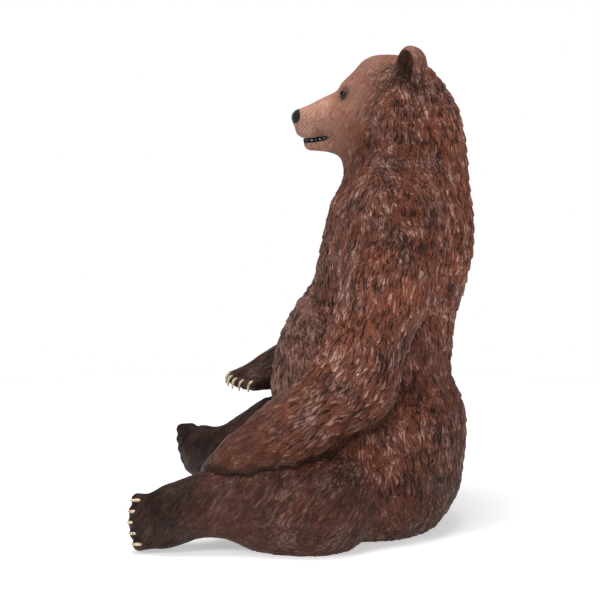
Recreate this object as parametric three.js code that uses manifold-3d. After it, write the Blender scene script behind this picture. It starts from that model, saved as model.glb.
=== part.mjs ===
// A seated brown bear, cast in one piece of glass-fibre resin and painted.
// The bear faces -Y, its left side is +X, and it sits on the ground at z = 0. Millimetres.
import * as THREE from 'three';
import { mergeVertices } from 'three/addons/utils/BufferGeometryUtils.js';
import Module from 'manifold-3d';

const wasm = await Module();
wasm.setup();

// Driving dimensions
const HEIGHT = 1520; // ground to the tips of the ears
const LOCK_RELIEF = 14; // how far a lock of fur stands over its root
const LOCK_LENGTH = 110; // from one lock's root to the next
const CLAW_WIDTH = 13; // a claw's diameter at its root
const TRACE_STEP = 8.5; // spacing of the lattice on which the form is traced
const FACES = 8900; // triangles kept for the cast form, claws not counted

// The figure is laid out in mil, and its ears reach up to 996 of them
const MIL = HEIGHT / 996;
const DEG = Math.PI / 180;

// Forms as signed distances in mil: negative inside, positive outside
function softMin(a, b, k) {
  const h = Math.max(k - Math.abs(a - b), 0) / k;
  return Math.min(a, b) - h * h * k * 0.25;
}

function softMax(a, b, k) {
  return -softMin(-a, -b, k);
}

function ramp(from, to, x) {
  const t = Math.min(Math.max((x - from) / (to - from), 0), 1);
  return t * t * (3 - 2 * t);
}

function blend(k, first, ...others) {
  return (x, y, z) => {
    let d = first(x, y, z);
    for (const form of others) d = softMin(d, form(x, y, z), k);
    return d;
  };
}

// An ellipsoid, turned about the vertical by turn degrees
function ellipsoid([cx, cy, cz], [rx, ry, rz], turn = 0) {
  const cos = Math.cos(turn * DEG);
  const sin = Math.sin(turn * DEG);
  return (x, y, z) => {
    const dx = x - cx;
    const dy = y - cy;
    const u = (cos * dx + sin * dy) / rx;
    const v = (cos * dy - sin * dx) / ry;
    const w = (z - cz) / rz;
    const near = Math.sqrt(u * u + v * v + w * w);
    const [su, sv, sw] = [u / rx, v / ry, w / rz];
    const slope = Math.sqrt(su * su + sv * sv + sw * sw) + 1e-9;
    return (near * (near - 1)) / slope;
  };
}

// A tapered rod with round ends: each end is x, y, z, radius
function rod([ax, ay, az, ra], [bx, by, bz, rb]) {
  const dx = bx - ax;
  const dy = by - ay;
  const dz = bz - az;
  const length2 = dx * dx + dy * dy + dz * dz;
  return (x, y, z) => {
    const px = x - ax;
    const py = y - ay;
    const pz = z - az;
    const t = Math.min(Math.max((px * dx + py * dy + pz * dz) / length2, 0), 1);
    const qx = px - t * dx;
    const qy = py - t * dy;
    const qz = pz - t * dz;
    return Math.sqrt(qx * qx + qy * qy + qz * qz) - (ra + (rb - ra) * t);
  };
}

function limb(k, ...joints) {
  return blend(k, ...joints.slice(1).map((joint, i) => rod(joints[i], joint)));
}

const bothSides = (make) => [1, -1].map(make);

// Torso: rump, belly, waist, chest, withers and neck
const torso = blend(
  36,
  ellipsoid([0, 150, 128], [240, 193, 180]),
  ellipsoid([0, 160, 220], [205, 188, 150]),
  ellipsoid([0, 124, 285], [186, 182, 255]),
  ellipsoid([0, 190, 420], [170, 130, 170]),
  ellipsoid([0, 176, 520], [164, 136, 125]),
  ellipsoid([0, 202, 582], [162, 152, 200]),
  ellipsoid([0, 236, 640], [140, 116, 160]),
  ellipsoid([0, 226, 750], [122, 118, 140]),
);

// Head: skull, nape and cheeks, then forehead and brow, then the muzzle with its lips, chin and nose
const skull = blend(
  36,
  ellipsoid([0, 196, 878], [94, 100, 100]),
  ellipsoid([0, 206, 842], [110, 112, 98]),
  ellipsoid([0, 150, 834], [100, 76, 82]),
);
const forehead = blend(
  20,
  skull,
  ellipsoid([0, 158, 926], [68, 44, 48]),
  ellipsoid([0, 127, 903], [60, 46, 33]),
);
const jowls = bothSides((s) => rod([s * 36, 128, 850, 44], [s * 15, 66, 852, 33]));
const bridges = bothSides((s) => rod([s * 14, 84, 865, 36], [s * 9, 14, 844, 26]));
const lips = bothSides((s) => ellipsoid([s * 13, 23, 824], [21, 30, 18]));
const muzzle = blend(8, blend(14, blend(24, forehead, ...jowls), ...bridges), ...lips);
const chin = rod([0, 100, 806, 30], [0, 24, 798, 16]);
const nose = ellipsoid([0, -2, 851], [22, 15, 15]);
const snout = blend(5, blend(8, muzzle, chin), nose);
const EAR_TURN = 40;
const ears = bothSides((s) => {
  const shell = ellipsoid([s * 80, 230, 950], [36, 24, 46], s * EAR_TURN);
  const hollow = ellipsoid([s * 91, 217, 952], [27, 21, 34], s * EAR_TURN);
  return (x, y, z) => softMax(shell(x, y, z), -hollow(x, y, z), 6);
});
const head = blend(12, snout, ...ears);

// The lips part in a groove that runs back to the corners of the mouth and narrows as it goes in
const MOUTH_DEPTH = 10;
const MOUTH_BACK = 66;
const MOUTH_GAP = 12;
const MOUTH_FRONT = 802.5;
const MOUTH_RISE = 9; // from the front of the mouth to its corners
function mouth(d, x, y, z) {
  const line = MOUTH_FRONT + MOUTH_RISE * (Math.min(Math.max(y, 0), MOUTH_BACK) / MOUTH_BACK) ** 2;
  const width = MOUTH_GAP * (1 + d / MOUTH_DEPTH) * ramp(MOUTH_BACK, MOUTH_BACK - 10, y);
  return Math.max(Math.abs(z - line) - width / 2, y - MOUTH_BACK);
}

const sockets = bothSides((s) => ellipsoid([s * 54, 86, 900], [15, 15, 13]));
const eyeballs = bothSides((s) => ellipsoid([s * 46, 97, 899], [11, 11, 10]));
const nostrils = bothSides((s) => ellipsoid([s * 10, -15, 850], [6, 7, 5]));

// A paw has its own frame: across the toes, along them, and out of its back
function pawFrame(origin, along, back) {
  const o = new THREE.Vector3(...origin);
  const toes = new THREE.Vector3(...along).normalize();
  const up = new THREE.Vector3(...back);
  up.addScaledVector(toes, -up.dot(toes)).normalize();
  const across = new THREE.Vector3().crossVectors(toes, up);
  return { o, across, toes, up };
}

// The five toes are set on an arc across the paw
const TOES = [-2, -1, 0, 1, 2];
function toeTip(paw, i) {
  const w = i * paw.gap + paw.shift;
  return [w, paw.reach - paw.arc * (i * paw.gap) ** 2];
}

function pawForm(paw) {
  const { frame, pads, gap, toeRadius } = paw;
  const slab = blend(24, ...pads.map(([centre, radii]) => ellipsoid(centre, radii)));
  const toes = TOES.map((i) => {
    const [w, t] = toeTip(paw, i);
    return rod([w - 0.1 * i * gap, t - 34, 1, toeRadius + 1], [w, t - toeRadius, -2, toeRadius]);
  });
  const form = blend(6, slab, ...toes);
  const { o, across, toes: along, up } = frame;
  return (x, y, z) => {
    const dx = x - o.x;
    const dy = y - o.y;
    const dz = z - o.z;
    return form(
      dx * across.x + dy * across.y + dz * across.z,
      dx * along.x + dy * along.y + dz * along.z,
      dx * up.x + dy * up.y + dz * up.z,
    );
  };
}

const FOOT = { gap: 21.5, shift: 0, reach: 52, arc: 0.004, toeRadius: 14, hang: 0 };
const HAND = { gap: 20, shift: 0, reach: 50, arc: 0.008, toeRadius: 12.5, hang: 1 };
const leftFoot = {
  ...FOOT,
  frame: pawFrame([290, -259, 62], [0.2, -0.97, -0.02], [0.95, 0.18, 0.22]),
  pads: [[[0, -14, 0], [55, 62, 36]], [[0, -54, -14], [40, 42, 44]]],
};
const rightFoot = {
  ...FOOT,
  shift: -20,
  frame: pawFrame([-290, -259, 75], [-0.22, -0.94, -0.24], [-0.95, 0.22, -0.02]),
  pads: [[[0, -12, 0], [64, 60, 36]], [[0, -62, -14], [44, 44, 42]]],
};
const palm = [[[0, -12, 0], [46, 48, 29]]];
const leftHand = {
  ...HAND,
  frame: pawFrame([214, -124, 166], [-0.92, -0.24, -0.3], [-0.2, -0.25, 0.94]),
  pads: palm,
};
const rightHand = {
  ...HAND,
  frame: pawFrame([-184, -126, 272], [0.68, -0.68, -0.1], [0.16, 0, 0.98]),
  pads: palm,
};
const paws = [leftFoot, rightFoot, leftHand, rightHand];

const leftArm = limb(
  40,
  [130, 205, 672, 80],
  [166, 190, 520, 84],
  [198, 128, 330, 78],
  [236, 0, 232, 64],
  [252, -82, 186, 56],
);
const rightArm = limb(
  40,
  [-130, 205, 672, 80],
  [-172, 188, 530, 82],
  [-226, 130, 408, 74],
  [-238, 20, 336, 56],
  [-222, -88, 284, 42],
);
const arms = [blend(26, leftArm, pawForm(leftHand)), blend(22, rightArm, pawForm(rightHand))];

const leftLeg = blend(
  50,
  ellipsoid([198, 20, 86], [134, 156, 124], -18),
  rod([240, -70, 106, 84], [282, -215, 84, 55]),
);
const rightLeg = blend(
  50,
  ellipsoid([-196, 24, 90], [134, 156, 124], 18),
  rod([-238, -80, 140, 80], [-280, -222, 81, 43]),
);
// Under the left elbow the thigh, flank and arm are one, without a gap between them
const underElbow = rod([198, 95, 208, 24], [186, 165, 240, 22]);
const legs = [
  blend(20, leftLeg, pawForm(leftFoot), underElbow),
  blend(20, rightLeg, pawForm(rightFoot)),
];

// The arms melt into the shoulders and lie against the flank in a crease lower down
const armpit = (z) => 12 + 60 * ramp(470, 640, z);

function face(d, x, y, z) {
  let carved = softMax(d, -mouth(d, x, y, z), 3);
  for (const form of sockets) carved = softMax(carved, -form(x, y, z), 8);
  for (const form of eyeballs) carved = softMin(carved, form(x, y, z), 1.5);
  for (const form of nostrils) carved = softMax(carved, -form(x, y, z), 3);
  return carved;
}

const FACE_FROM = [150, 770]; // nothing of the face lies behind this y or below this z
const SHOULDERS = 850; // the arms and legs reach no higher

// The bear without its fur. How far each part is from the point last asked for stays in away.
const away = { trunk: 0, arm: 0, leg: 0, side: 0 };
function smooth(x, y, z) {
  const trunk = torso(x, y, z);
  const top = head(x, y, z);
  let d = softMin(trunk, top, 60);
  away.trunk = d;
  away.arm = Infinity;
  away.leg = Infinity;
  if (y < FACE_FROM[0] && z > FACE_FROM[1]) d = face(d, x, y, z);
  if (z > SHOULDERS) return d;
  away.side = x > 0 ? 0 : 1;
  away.arm = arms[away.side](x, y, z);
  away.leg = legs[away.side](x, y, z);
  return softMin(softMin(d, away.leg, 30), away.arm, armpit(z));
}

// Fur grows back over the skull and down the neck and trunk, along the arms and down the thighs to the feet
const towards = (from, to) => new THREE.Vector3(...to).sub(new THREE.Vector3(...from)).normalize();
const SHOULDER = [[130, 205, 672], [-130, 205, 672]];
const ELBOWS = [[198, 128, 330], [-226, 130, 408]];
const WRISTS = [[252, -82, 186], [-222, -88, 284]];
const HIPS = [[130, 120, 150], [-130, 120, 170]];
const HEELS = [[285, -215, 60], [-285, -215, 80]];
const UPPER = ELBOWS.map((elbow, i) => towards(SHOULDER[i], elbow));
const LOWER = ELBOWS.map((elbow, i) => towards(elbow, WRISTS[i]));
const THIGHS = HEELS.map((heel, i) => towards(HIPS[i], heel));
const growth = new THREE.Vector3();
const armGrowth = new THREE.Vector3();
const MERGE = 24; // fur turns from one part's direction to the next over this distance
function growthAt(x, y, z) {
  const crown = ramp(780, 880, z);
  const nape = ramp(120, 300, y);
  const temple = ramp(60, 110, Math.abs(x));
  growth.x = 0.3 * crown * Math.sign(x) * temple;
  growth.y = crown * (1 - 0.8 * nape);
  growth.z = crown * (1 - 1.2 * nape - 0.5 * temple) - 1;
  growth.normalize();
  if (z > SHOULDERS) return growth;
  const { side } = away;
  armGrowth.copy(UPPER[side]).lerp(LOWER[side], ramp(-40, 40, ELBOWS[side][2] - z));
  growth.lerp(THIGHS[side], ramp(-MERGE, MERGE, away.trunk - away.leg));
  growth.lerp(armGrowth, ramp(-MERGE, MERGE, Math.min(away.trunk, away.leg) - away.arm));
  return growth.normalize();
}

// How deep the fur is: none on the face, ears and paws, and less on forearms and shins
function furDepth(x, y, z) {
  let depth = Math.max(ramp(120, 210, y), ramp(850, 760, z)) * ramp(960, 920, z);
  if (away.leg < away.trunk) depth *= ramp(-230, -60, y);
  if (away.arm < Math.min(away.trunk, away.leg)) depth *= ramp(-100, 60, y);
  return depth;
}

const fraction = (v) => v - Math.floor(v);
const scatter = (i, j, k, n) => fraction(Math.sin(i * 127.1 + j * 311.7 + k * 74.7 + n * 53.9) * 43758.5453);
const ROOTS = LOCK_LENGTH / MIL / 1.35; // spacing of the roots
const LOCK_LONG = 1.45;
const LOCK_WIDE = 0.72;
const JITTER = 0.8;
const LATTICE_LOW = [-380, -360, -80];
const LATTICE_HIGH = [380, 400, 1020];
const FIRST_ROOT = LATTICE_LOW.map((v) => Math.floor(v / ROOTS) - 2);
const ROOT_COUNT = LATTICE_HIGH.map((v, axis) => Math.ceil(v / ROOTS) + 3 - FIRST_ROOT[axis]);
const roots = new Float64Array(3 * ROOT_COUNT[0] * ROOT_COUNT[1] * ROOT_COUNT[2]);
function rootAt(i, j, k) {
  const row = (k - FIRST_ROOT[2]) * ROOT_COUNT[1] + j - FIRST_ROOT[1];
  return 3 * (row * ROOT_COUNT[0] + i - FIRST_ROOT[0]);
}
for (let n = 0; n < roots.length / 3; n += 1) {
  const row = Math.floor(n / ROOT_COUNT[0]);
  const cell = [
    FIRST_ROOT[0] + (n % ROOT_COUNT[0]),
    FIRST_ROOT[1] + (row % ROOT_COUNT[1]),
    FIRST_ROOT[2] + Math.floor(row / ROOT_COUNT[1]),
  ];
  for (let axis = 0; axis < 3; axis += 1) {
    roots[3 * n + axis] = cell[axis] + 0.5 + JITTER * (scatter(...cell, axis) - 0.5);
  }
}
function locks(x, y, z) {
  const f = growthAt(x, y, z);
  const ci = Math.floor(x / ROOTS);
  const cj = Math.floor(y / ROOTS);
  const ck = Math.floor(z / ROOTS);
  let best = Infinity;
  let second = Infinity;
  let height = 0;
  for (let i = ci - 1; i <= ci + 1; i += 1) {
    for (let j = cj - 1; j <= cj + 1; j += 1) {
      for (let k = ck - 1; k <= ck + 1; k += 1) {
        const root = rootAt(i, j, k);
        const px = x / ROOTS - roots[root];
        const py = y / ROOTS - roots[root + 1];
        const pz = z / ROOTS - roots[root + 2];
        const along = px * f.x + py * f.y + pz * f.z;
        const aside2 = Math.max(px * px + py * py + pz * pz - along * along, 0);
        const reach = Math.sqrt((along / LOCK_LONG) ** 2 + aside2 / LOCK_WIDE ** 2);
        if (reach < best) {
          second = best;
          best = reach;
          height = 0.5 + along / LOCK_LONG;
        } else if (reach < second) second = reach;
      }
    }
  }
  return ramp(0, 1, height) * ramp(-0.1, 0.45, second - best) - 0.3;
}

const RELIEF = LOCK_RELIEF / MIL;
function bear(x, y, z) {
  const d = smooth(x, y, z);
  if (Math.abs(d) > RELIEF + 2 * TRACE_STEP / MIL) return d;
  const depth = furDepth(x, y, z);
  return depth > 0 ? d - RELIEF * depth * locks(x, y, z) : d;
}

// Tracing: the surface where the distance is zero, cell by cell on a cubic lattice. Corner c of a cell
// is at (c & 1, c >> 1 & 1, c >> 2 & 1). A loop of crossed edges round a cell becomes triangles.
const FACES_OF_CELL = [[0, 4, 6, 2], [1, 3, 7, 5], [0, 1, 5, 4], [2, 6, 7, 3], [0, 2, 3, 1], [4, 5, 7, 6]];
function loopsOf(mask) {
  const next = new Map();
  const key = (a, b) => Math.min(a, b) * 8 + Math.max(a, b);
  const inside = (c) => (mask >> c) & 1;
  for (const corners of FACES_OF_CELL) {
    for (let i = 0; i < 4; i += 1) {
      if (!inside(corners[i]) || inside(corners[(i + 1) % 4])) continue;
      let j = i;
      while (inside(corners[(j + 3) % 4])) j += 3;
      next.set(key(corners[i], corners[(i + 1) % 4]), key(corners[j % 4], corners[(j + 3) % 4]));
    }
  }
  const loops = [];
  while (next.size) {
    const [start] = next.keys();
    const loop = [];
    for (let edge = start; next.has(edge);) {
      loop.push(edge);
      const following = next.get(edge);
      next.delete(edge);
      edge = following;
    }
    loops.push(loop);
  }
  return loops;
}
const LOOPS = Array.from({ length: 256 }, (_, mask) => loopsOf(mask));

function trace(field, low, high, step) {
  const n = low.map((v, a) => Math.ceil((high[a] - v) / step) + 1);
  const at = (i, j, k) => (k * n[1] + j) * n[0] + i;
  const value = new Float32Array(n[0] * n[1] * n[2]);
  const BLOCK = 4;
  const half = (step * BLOCK) / 2;
  for (let k = 0; k < n[2]; k += BLOCK) {
    for (let j = 0; j < n[1]; j += BLOCK) {
      for (let i = 0; i < n[0]; i += BLOCK) {
        const middle = field(low[0] + i * step + half, low[1] + j * step + half, low[2] + k * step + half);
        const far = Math.abs(middle) > half * 3.2;
        for (let c = k; c < Math.min(k + BLOCK, n[2]); c += 1) {
          for (let b = j; b < Math.min(j + BLOCK, n[1]); b += 1) {
            for (let a = i; a < Math.min(i + BLOCK, n[0]); a += 1) {
              value[at(a, b, c)] = far
                ? middle
                : field(low[0] + a * step, low[1] + b * step, low[2] + c * step) || 1e-6;
            }
          }
        }
      }
    }
  }
  const points = [];
  const triangles = [];
  const known = new Map();
  const offset = [0, 1, 2, 3, 4, 5, 6, 7].map((c) => at(c & 1, (c >> 1) & 1, (c >> 2) & 1));
  const axisOf = { 1: 0, 2: 1, 4: 2 };
  function crossing(cell, edge) {
    const a = edge >> 3;
    const b = edge & 7;
    const axis = axisOf[a ^ b];
    const from = cell + offset[a];
    const id = from * 3 + axis;
    let index = known.get(id);
    if (index === undefined) {
      const va = value[from];
      const vb = value[cell + offset[b]];
      const t = Math.min(Math.max(va / (va - vb), 0.08), 0.92);
      const p = [from % n[0], Math.floor(from / n[0]) % n[1], Math.floor(from / (n[0] * n[1]))];
      p[axis] += t;
      index = points.length / 3;
      points.push(low[0] + p[0] * step, low[1] + p[1] * step, low[2] + p[2] * step);
      known.set(id, index);
    }
    return index;
  }
  for (let k = 0; k < n[2] - 1; k += 1) {
    for (let j = 0; j < n[1] - 1; j += 1) {
      for (let i = 0; i < n[0] - 1; i += 1) {
        const cell = at(i, j, k);
        let mask = 0;
        for (let c = 0; c < 8; c += 1) if (value[cell + offset[c]] < 0) mask |= 1 << c;
        if (mask === 0 || mask === 255) continue;
        for (const loop of LOOPS[mask]) {
          const ring = loop.map((edge) => crossing(cell, edge));
          for (let c = 2; c < ring.length; c += 1) triangles.push(ring[0], ring[c], ring[c - 1]);
        }
      }
    }
  }
  return { points, triangles };
}

// Only the largest body of what was traced is kept
function largestBody({ points, triangles }) {
  const parent = Int32Array.from({ length: points.length / 3 }, (_, v) => v);
  const find = (v) => {
    let root = v;
    while (parent[root] !== root) root = parent[root];
    while (parent[v] !== root) [parent[v], v] = [root, parent[v]];
    return root;
  };
  for (let t = 0; t < triangles.length; t += 3) {
    parent[find(triangles[t])] = find(triangles[t + 1]);
    parent[find(triangles[t + 1])] = find(triangles[t + 2]);
  }
  const size = new Map();
  for (let v = 0; v < parent.length; v += 1) size.set(find(v), (size.get(find(v)) ?? 0) + 1);
  const [body] = [...size].reduce((a, b) => (b[1] > a[1] ? b : a));
  const kept = [];
  for (let t = 0; t < triangles.length; t += 3) {
    if (find(triangles[t]) === body) kept.push(triangles[t], triangles[t + 1], triangles[t + 2]);
  }
  return { points, triangles: kept };
}

// A heap of edges, the cheapest on top
class EdgeHeap {
  items = [];

  push(item) {
    const { items } = this;
    let i = items.push(item) - 1;
    while (i > 0) {
      const up = (i - 1) >> 1;
      if (items[up].cost <= item.cost) break;
      items[i] = items[up];
      i = up;
    }
    items[i] = item;
  }

  pop() {
    const { items } = this;
    const top = items[0];
    const last = items.pop();
    const n = items.length;
    if (n === 0) return top;
    let i = 0;
    for (;;) {
      let down = 2 * i + 1;
      if (down >= n) break;
      if (down + 1 < n && items[down + 1].cost < items[down].cost) down += 1;
      if (items[down].cost >= last.cost) break;
      items[i] = items[down];
      i = down;
    }
    items[i] = last;
    return top;
  }
}

// Thinning: the edge whose loss moves the surface least is drawn together, over and over. Each point
// carries the squared distances to the planes that met in it, as ten numbers of a symmetric matrix.
function thin({ points, triangles }, keep) {
  const at = Float64Array.from(points);
  const corner = Int32Array.from(triangles);
  const count = points.length / 3;
  const around = Array.from({ length: count }, () => []);
  const planes = new Float64Array(count * 10);
  const version = new Int32Array(count);
  const normal = new Float64Array(3);
  const moved = new Float64Array(3);
  const gone = new Uint8Array(corner.length / 3);

  // The normal of triangle t, with its point v, if given, put at place
  const spot = new Float64Array(9);
  function normalOf(t, out, v = -1, place = null) {
    for (let k = 0; k < 3; k += 1) {
      const point = corner[3 * t + k];
      for (let i = 0; i < 3; i += 1) spot[3 * k + i] = point === v ? place[i] : at[3 * point + i];
    }
    const ux = spot[3] - spot[0];
    const uy = spot[4] - spot[1];
    const uz = spot[5] - spot[2];
    const vx = spot[6] - spot[0];
    const vy = spot[7] - spot[1];
    const vz = spot[8] - spot[2];
    out[0] = uy * vz - uz * vy;
    out[1] = uz * vx - ux * vz;
    out[2] = ux * vy - uy * vx;
    return Math.sqrt(out[0] * out[0] + out[1] * out[1] + out[2] * out[2]);
  }

  for (let t = 0; t < gone.length; t += 1) {
    const area = normalOf(t, normal) + 1e-12;
    const [a, b, c] = [normal[0] / area, normal[1] / area, normal[2] / area];
    const v = 3 * corner[3 * t];
    const d = -(a * at[v] + b * at[v + 1] + c * at[v + 2]);
    const plane = [a * a, a * b, a * c, a * d, b * b, b * c, b * d, c * c, c * d, d * d];
    for (let k = 0; k < 3; k += 1) {
      const point = corner[3 * t + k];
      around[point].push(t);
      for (let q = 0; q < 10; q += 1) planes[10 * point + q] += plane[q] * area;
    }
  }

  const q = new Float64Array(10);
  function costAt(x, y, z) {
    const squares = q[0] * x * x + q[4] * y * y + q[7] * z * z;
    const products = q[1] * x * y + q[2] * x * z + q[5] * y * z;
    return squares + 2 * (products + q[3] * x + q[6] * y + q[8] * z) + q[9];
  }
  // The best place for the point that edge a-b becomes, and its cost
  function meeting(a, b) {
    for (let i = 0; i < 10; i += 1) q[i] = planes[10 * a + i] + planes[10 * b + i];
    const c0 = q[4] * q[7] - q[5] * q[5];
    const c1 = q[2] * q[5] - q[1] * q[7];
    const c2 = q[1] * q[5] - q[2] * q[4];
    const det = q[0] * c0 + q[1] * c1 + q[2] * c2;
    const size = q[0] + q[4] + q[7];
    const middle = [0, 1, 2].map((i) => (at[3 * a + i] + at[3 * b + i]) / 2);
    if (Math.abs(det) > 1e-5 * size ** 3) {
      const x = -(c0 * q[3] + c1 * q[6] + c2 * q[8]) / det;
      const y = -(c1 * q[3] + (q[0] * q[7] - q[2] * q[2]) * q[6] + (q[1] * q[2] - q[0] * q[5]) * q[8]) / det;
      const z = -(c2 * q[3] + (q[1] * q[2] - q[0] * q[5]) * q[6] + (q[0] * q[4] - q[1] * q[1]) * q[8]) / det;
      const reach2 = [0, 1, 2].reduce((sum, i) => sum + (at[3 * a + i] - at[3 * b + i]) ** 2, 0);
      if ((x - middle[0]) ** 2 + (y - middle[1]) ** 2 + (z - middle[2]) ** 2 < 4 * reach2) {
        return { cost: costAt(x, y, z), place: [x, y, z] };
      }
    }
    return { cost: costAt(...middle), place: middle };
  }

  const neighbours = (v) => {
    const found = new Set();
    for (const t of around[v]) for (let k = 0; k < 3; k += 1) found.add(corner[3 * t + k]);
    found.delete(v);
    return found;
  };
  const flips = (v, other, place) => around[v].some((t) => {
    if (corner[3 * t] === other || corner[3 * t + 1] === other || corner[3 * t + 2] === other) return false;
    const before = normalOf(t, normal);
    const after = normalOf(t, moved, v, place);
    const dot = normal[0] * moved[0] + normal[1] * moved[1] + normal[2] * moved[2];
    return dot < 0.25 * before * after || after < 1e-6;
  });

  const heap = new EdgeHeap();
  const offer = (a, b) => {
    const { cost, place } = meeting(a, b);
    heap.push({ cost: Math.max(cost, 0), place, a, b, va: version[a], vb: version[b] });
  };
  for (let v = 0; v < count; v += 1) for (const w of neighbours(v)) if (w > v) offer(v, w);
  let left = gone.length;
  while (left > keep && heap.items.length) {
    const { a, b, va, vb, place } = heap.pop();
    if (version[a] !== va || version[b] !== vb) continue;
    const ringA = neighbours(a);
    let shared = 0;
    for (const v of neighbours(b)) if (ringA.has(v)) shared += 1;
    if (shared !== 2 || flips(a, b, place) || flips(b, a, place)) continue;
    for (const t of around[b]) {
      if (around[a].includes(t)) {
        gone[t] = 1;
        left -= 1;
      } else {
        for (let k = 0; k < 3; k += 1) if (corner[3 * t + k] === b) corner[3 * t + k] = a;
      }
    }
    const ring = [...new Set([...around[a], ...around[b]])].filter((t) => !gone[t]);
    around[a] = ring;
    around[b] = [];
    for (let i = 0; i < 3; i += 1) at[3 * a + i] = place[i];
    for (let i = 0; i < 10; i += 1) planes[10 * a + i] += planes[10 * b + i];
    version[b] = -1;
    version[a] += 1;
    for (const v of neighbours(a)) {
      around[v] = around[v].filter((t) => !gone[t]);
      offer(a, v);
    }
  }
  const index = [];
  for (let c = 0; c < corner.length; c += 1) if (!gone[Math.floor(c / 3)]) index.push(corner[c]);
  return { points: at, triangles: index };
}

function solidOf(geometry) {
  const bare = geometry.clone();
  bare.deleteAttribute('normal');
  bare.deleteAttribute('uv');
  const merged = mergeVertices(bare, 1e-4);
  return new wasm.Manifold(new wasm.Mesh({
    numProp: 3,
    vertProperties: new Float32Array(merged.attributes.position.array),
    triVerts: new Uint32Array(merged.index.array),
  }));
}

function geometryOf(points, triangles) {
  const used = new Map();
  const position = [];
  const index = triangles.map((v) => {
    if (!used.has(v)) {
      used.set(v, used.size);
      position.push(points[3 * v] * MIL, points[3 * v + 1] * MIL, points[3 * v + 2] * MIL);
    }
    return used.get(v);
  });
  const geometry = new THREE.BufferGeometry();
  geometry.setAttribute('position', new THREE.Float32BufferAttribute(position, 3));
  geometry.setIndex(index);
  return geometry;
}

// A claw curves over the end of its toe: rings along a bend, closed by a flat root and a point
const CLAW_SIDES = 6;
const CLAW_RINGS = 3;
function claw(paw, i) {
  const { frame, hang } = paw;
  const [w, t] = toeTip(paw, i);
  const place = (along, up) => new THREE.Vector3()
    .addScaledVector(frame.across, w)
    .addScaledVector(frame.toes, t + along)
    .addScaledVector(frame.up, up)
    .add(frame.o);
  const bend = new THREE.QuadraticBezierCurve3(
    place(-20 + 10 * hang, 7 - 2 * hang),
    place(-2 + 9 * hang, 19 - 7 * hang),
    place(8 + 5 * hang, 3 - 10 * hang),
  );
  const points = [];
  for (let ring = 0; ring < CLAW_RINGS; ring += 1) {
    const s = ring / CLAW_RINGS;
    const centre = bend.getPoint(s);
    const tangent = bend.getTangent(s);
    const side = frame.across;
    const over = new THREE.Vector3().crossVectors(side, tangent).normalize();
    const radius = (CLAW_WIDTH / MIL / 2) * Math.sqrt(1 - s);
    for (let c = 0; c < CLAW_SIDES; c += 1) {
      const turn = (c / CLAW_SIDES) * 2 * Math.PI;
      const p = centre.clone().addScaledVector(side, radius * Math.cos(turn));
      points.push(...p.addScaledVector(over, radius * Math.sin(turn)).toArray());
    }
  }
  const root = points.length / 3;
  points.push(...bend.getPoint(0).toArray(), ...bend.getPoint(1).toArray());
  const triangles = [];
  for (let c = 0; c < CLAW_SIDES; c += 1) {
    const d = (c + 1) % CLAW_SIDES;
    for (let ring = 1; ring < CLAW_RINGS; ring += 1) {
      const below = (ring - 1) * CLAW_SIDES;
      const above = ring * CLAW_SIDES;
      triangles.push(below + c, above + d, below + d, below + c, above + c, above + d);
    }
    const last = (CLAW_RINGS - 1) * CLAW_SIDES;
    triangles.push(root, c, d, last + c, root + 1, last + d);
  }
  return solidOf(geometryOf(points, triangles));
}

const traced = largestBody(trace(bear, LATTICE_LOW, LATTICE_HIGH, TRACE_STEP / MIL));
const lean = thin(traced, FACES);
let cast = solidOf(geometryOf(lean.points, lean.triangles));
for (const paw of paws) for (const i of TOES) cast = cast.add(claw(paw, i));

// The underside is cut flat where the bear rests on the ground
const ground = new THREE.BoxGeometry(2 * HEIGHT, 2 * HEIGHT, HEIGHT).translate(0, 0, -HEIGHT / 2);
const { vertProperties, triVerts } = cast.subtract(solidOf(ground)).getMesh();
const geometry = new THREE.BufferGeometry();
geometry.setAttribute('position', new THREE.BufferAttribute(vertProperties, 3));
geometry.setIndex(new THREE.BufferAttribute(triVerts, 1));
geometry.computeVertexNormals();
geometry.computeBoundingBox();

const paint = new THREE.MeshStandardMaterial({ color: 0x6b4233, roughness: 0.45, metalness: 0 });
const figure = new THREE.Mesh(geometry, paint);
figure.name = 'bear';
const middle = geometry.boundingBox.getCenter(new THREE.Vector3());
figure.position.set(-middle.x, -middle.y, 0);

const group = new THREE.Group();
group.add(figure);
export default group;
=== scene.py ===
"""A seated brown bear, cast in glass-fibre resin and painted: fur, nose, lips, claws, eyes and teeth."""
import itertools
import math

import bpy
import numpy as np
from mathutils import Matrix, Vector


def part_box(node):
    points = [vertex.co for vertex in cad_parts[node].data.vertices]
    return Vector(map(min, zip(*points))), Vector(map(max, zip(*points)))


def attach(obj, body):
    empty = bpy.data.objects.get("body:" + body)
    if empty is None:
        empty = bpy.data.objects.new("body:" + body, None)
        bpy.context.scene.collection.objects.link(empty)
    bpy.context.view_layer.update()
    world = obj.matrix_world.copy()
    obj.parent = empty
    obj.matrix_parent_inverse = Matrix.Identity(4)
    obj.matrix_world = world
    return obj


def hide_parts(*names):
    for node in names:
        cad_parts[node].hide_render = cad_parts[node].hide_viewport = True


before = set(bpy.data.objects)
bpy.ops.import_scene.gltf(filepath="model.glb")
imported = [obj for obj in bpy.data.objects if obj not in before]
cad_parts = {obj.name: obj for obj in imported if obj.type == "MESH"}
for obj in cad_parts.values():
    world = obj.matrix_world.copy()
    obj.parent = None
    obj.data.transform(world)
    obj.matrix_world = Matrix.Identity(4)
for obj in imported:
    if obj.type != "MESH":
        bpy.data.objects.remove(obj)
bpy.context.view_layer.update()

import openvdb
from mathutils import Vector

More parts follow.
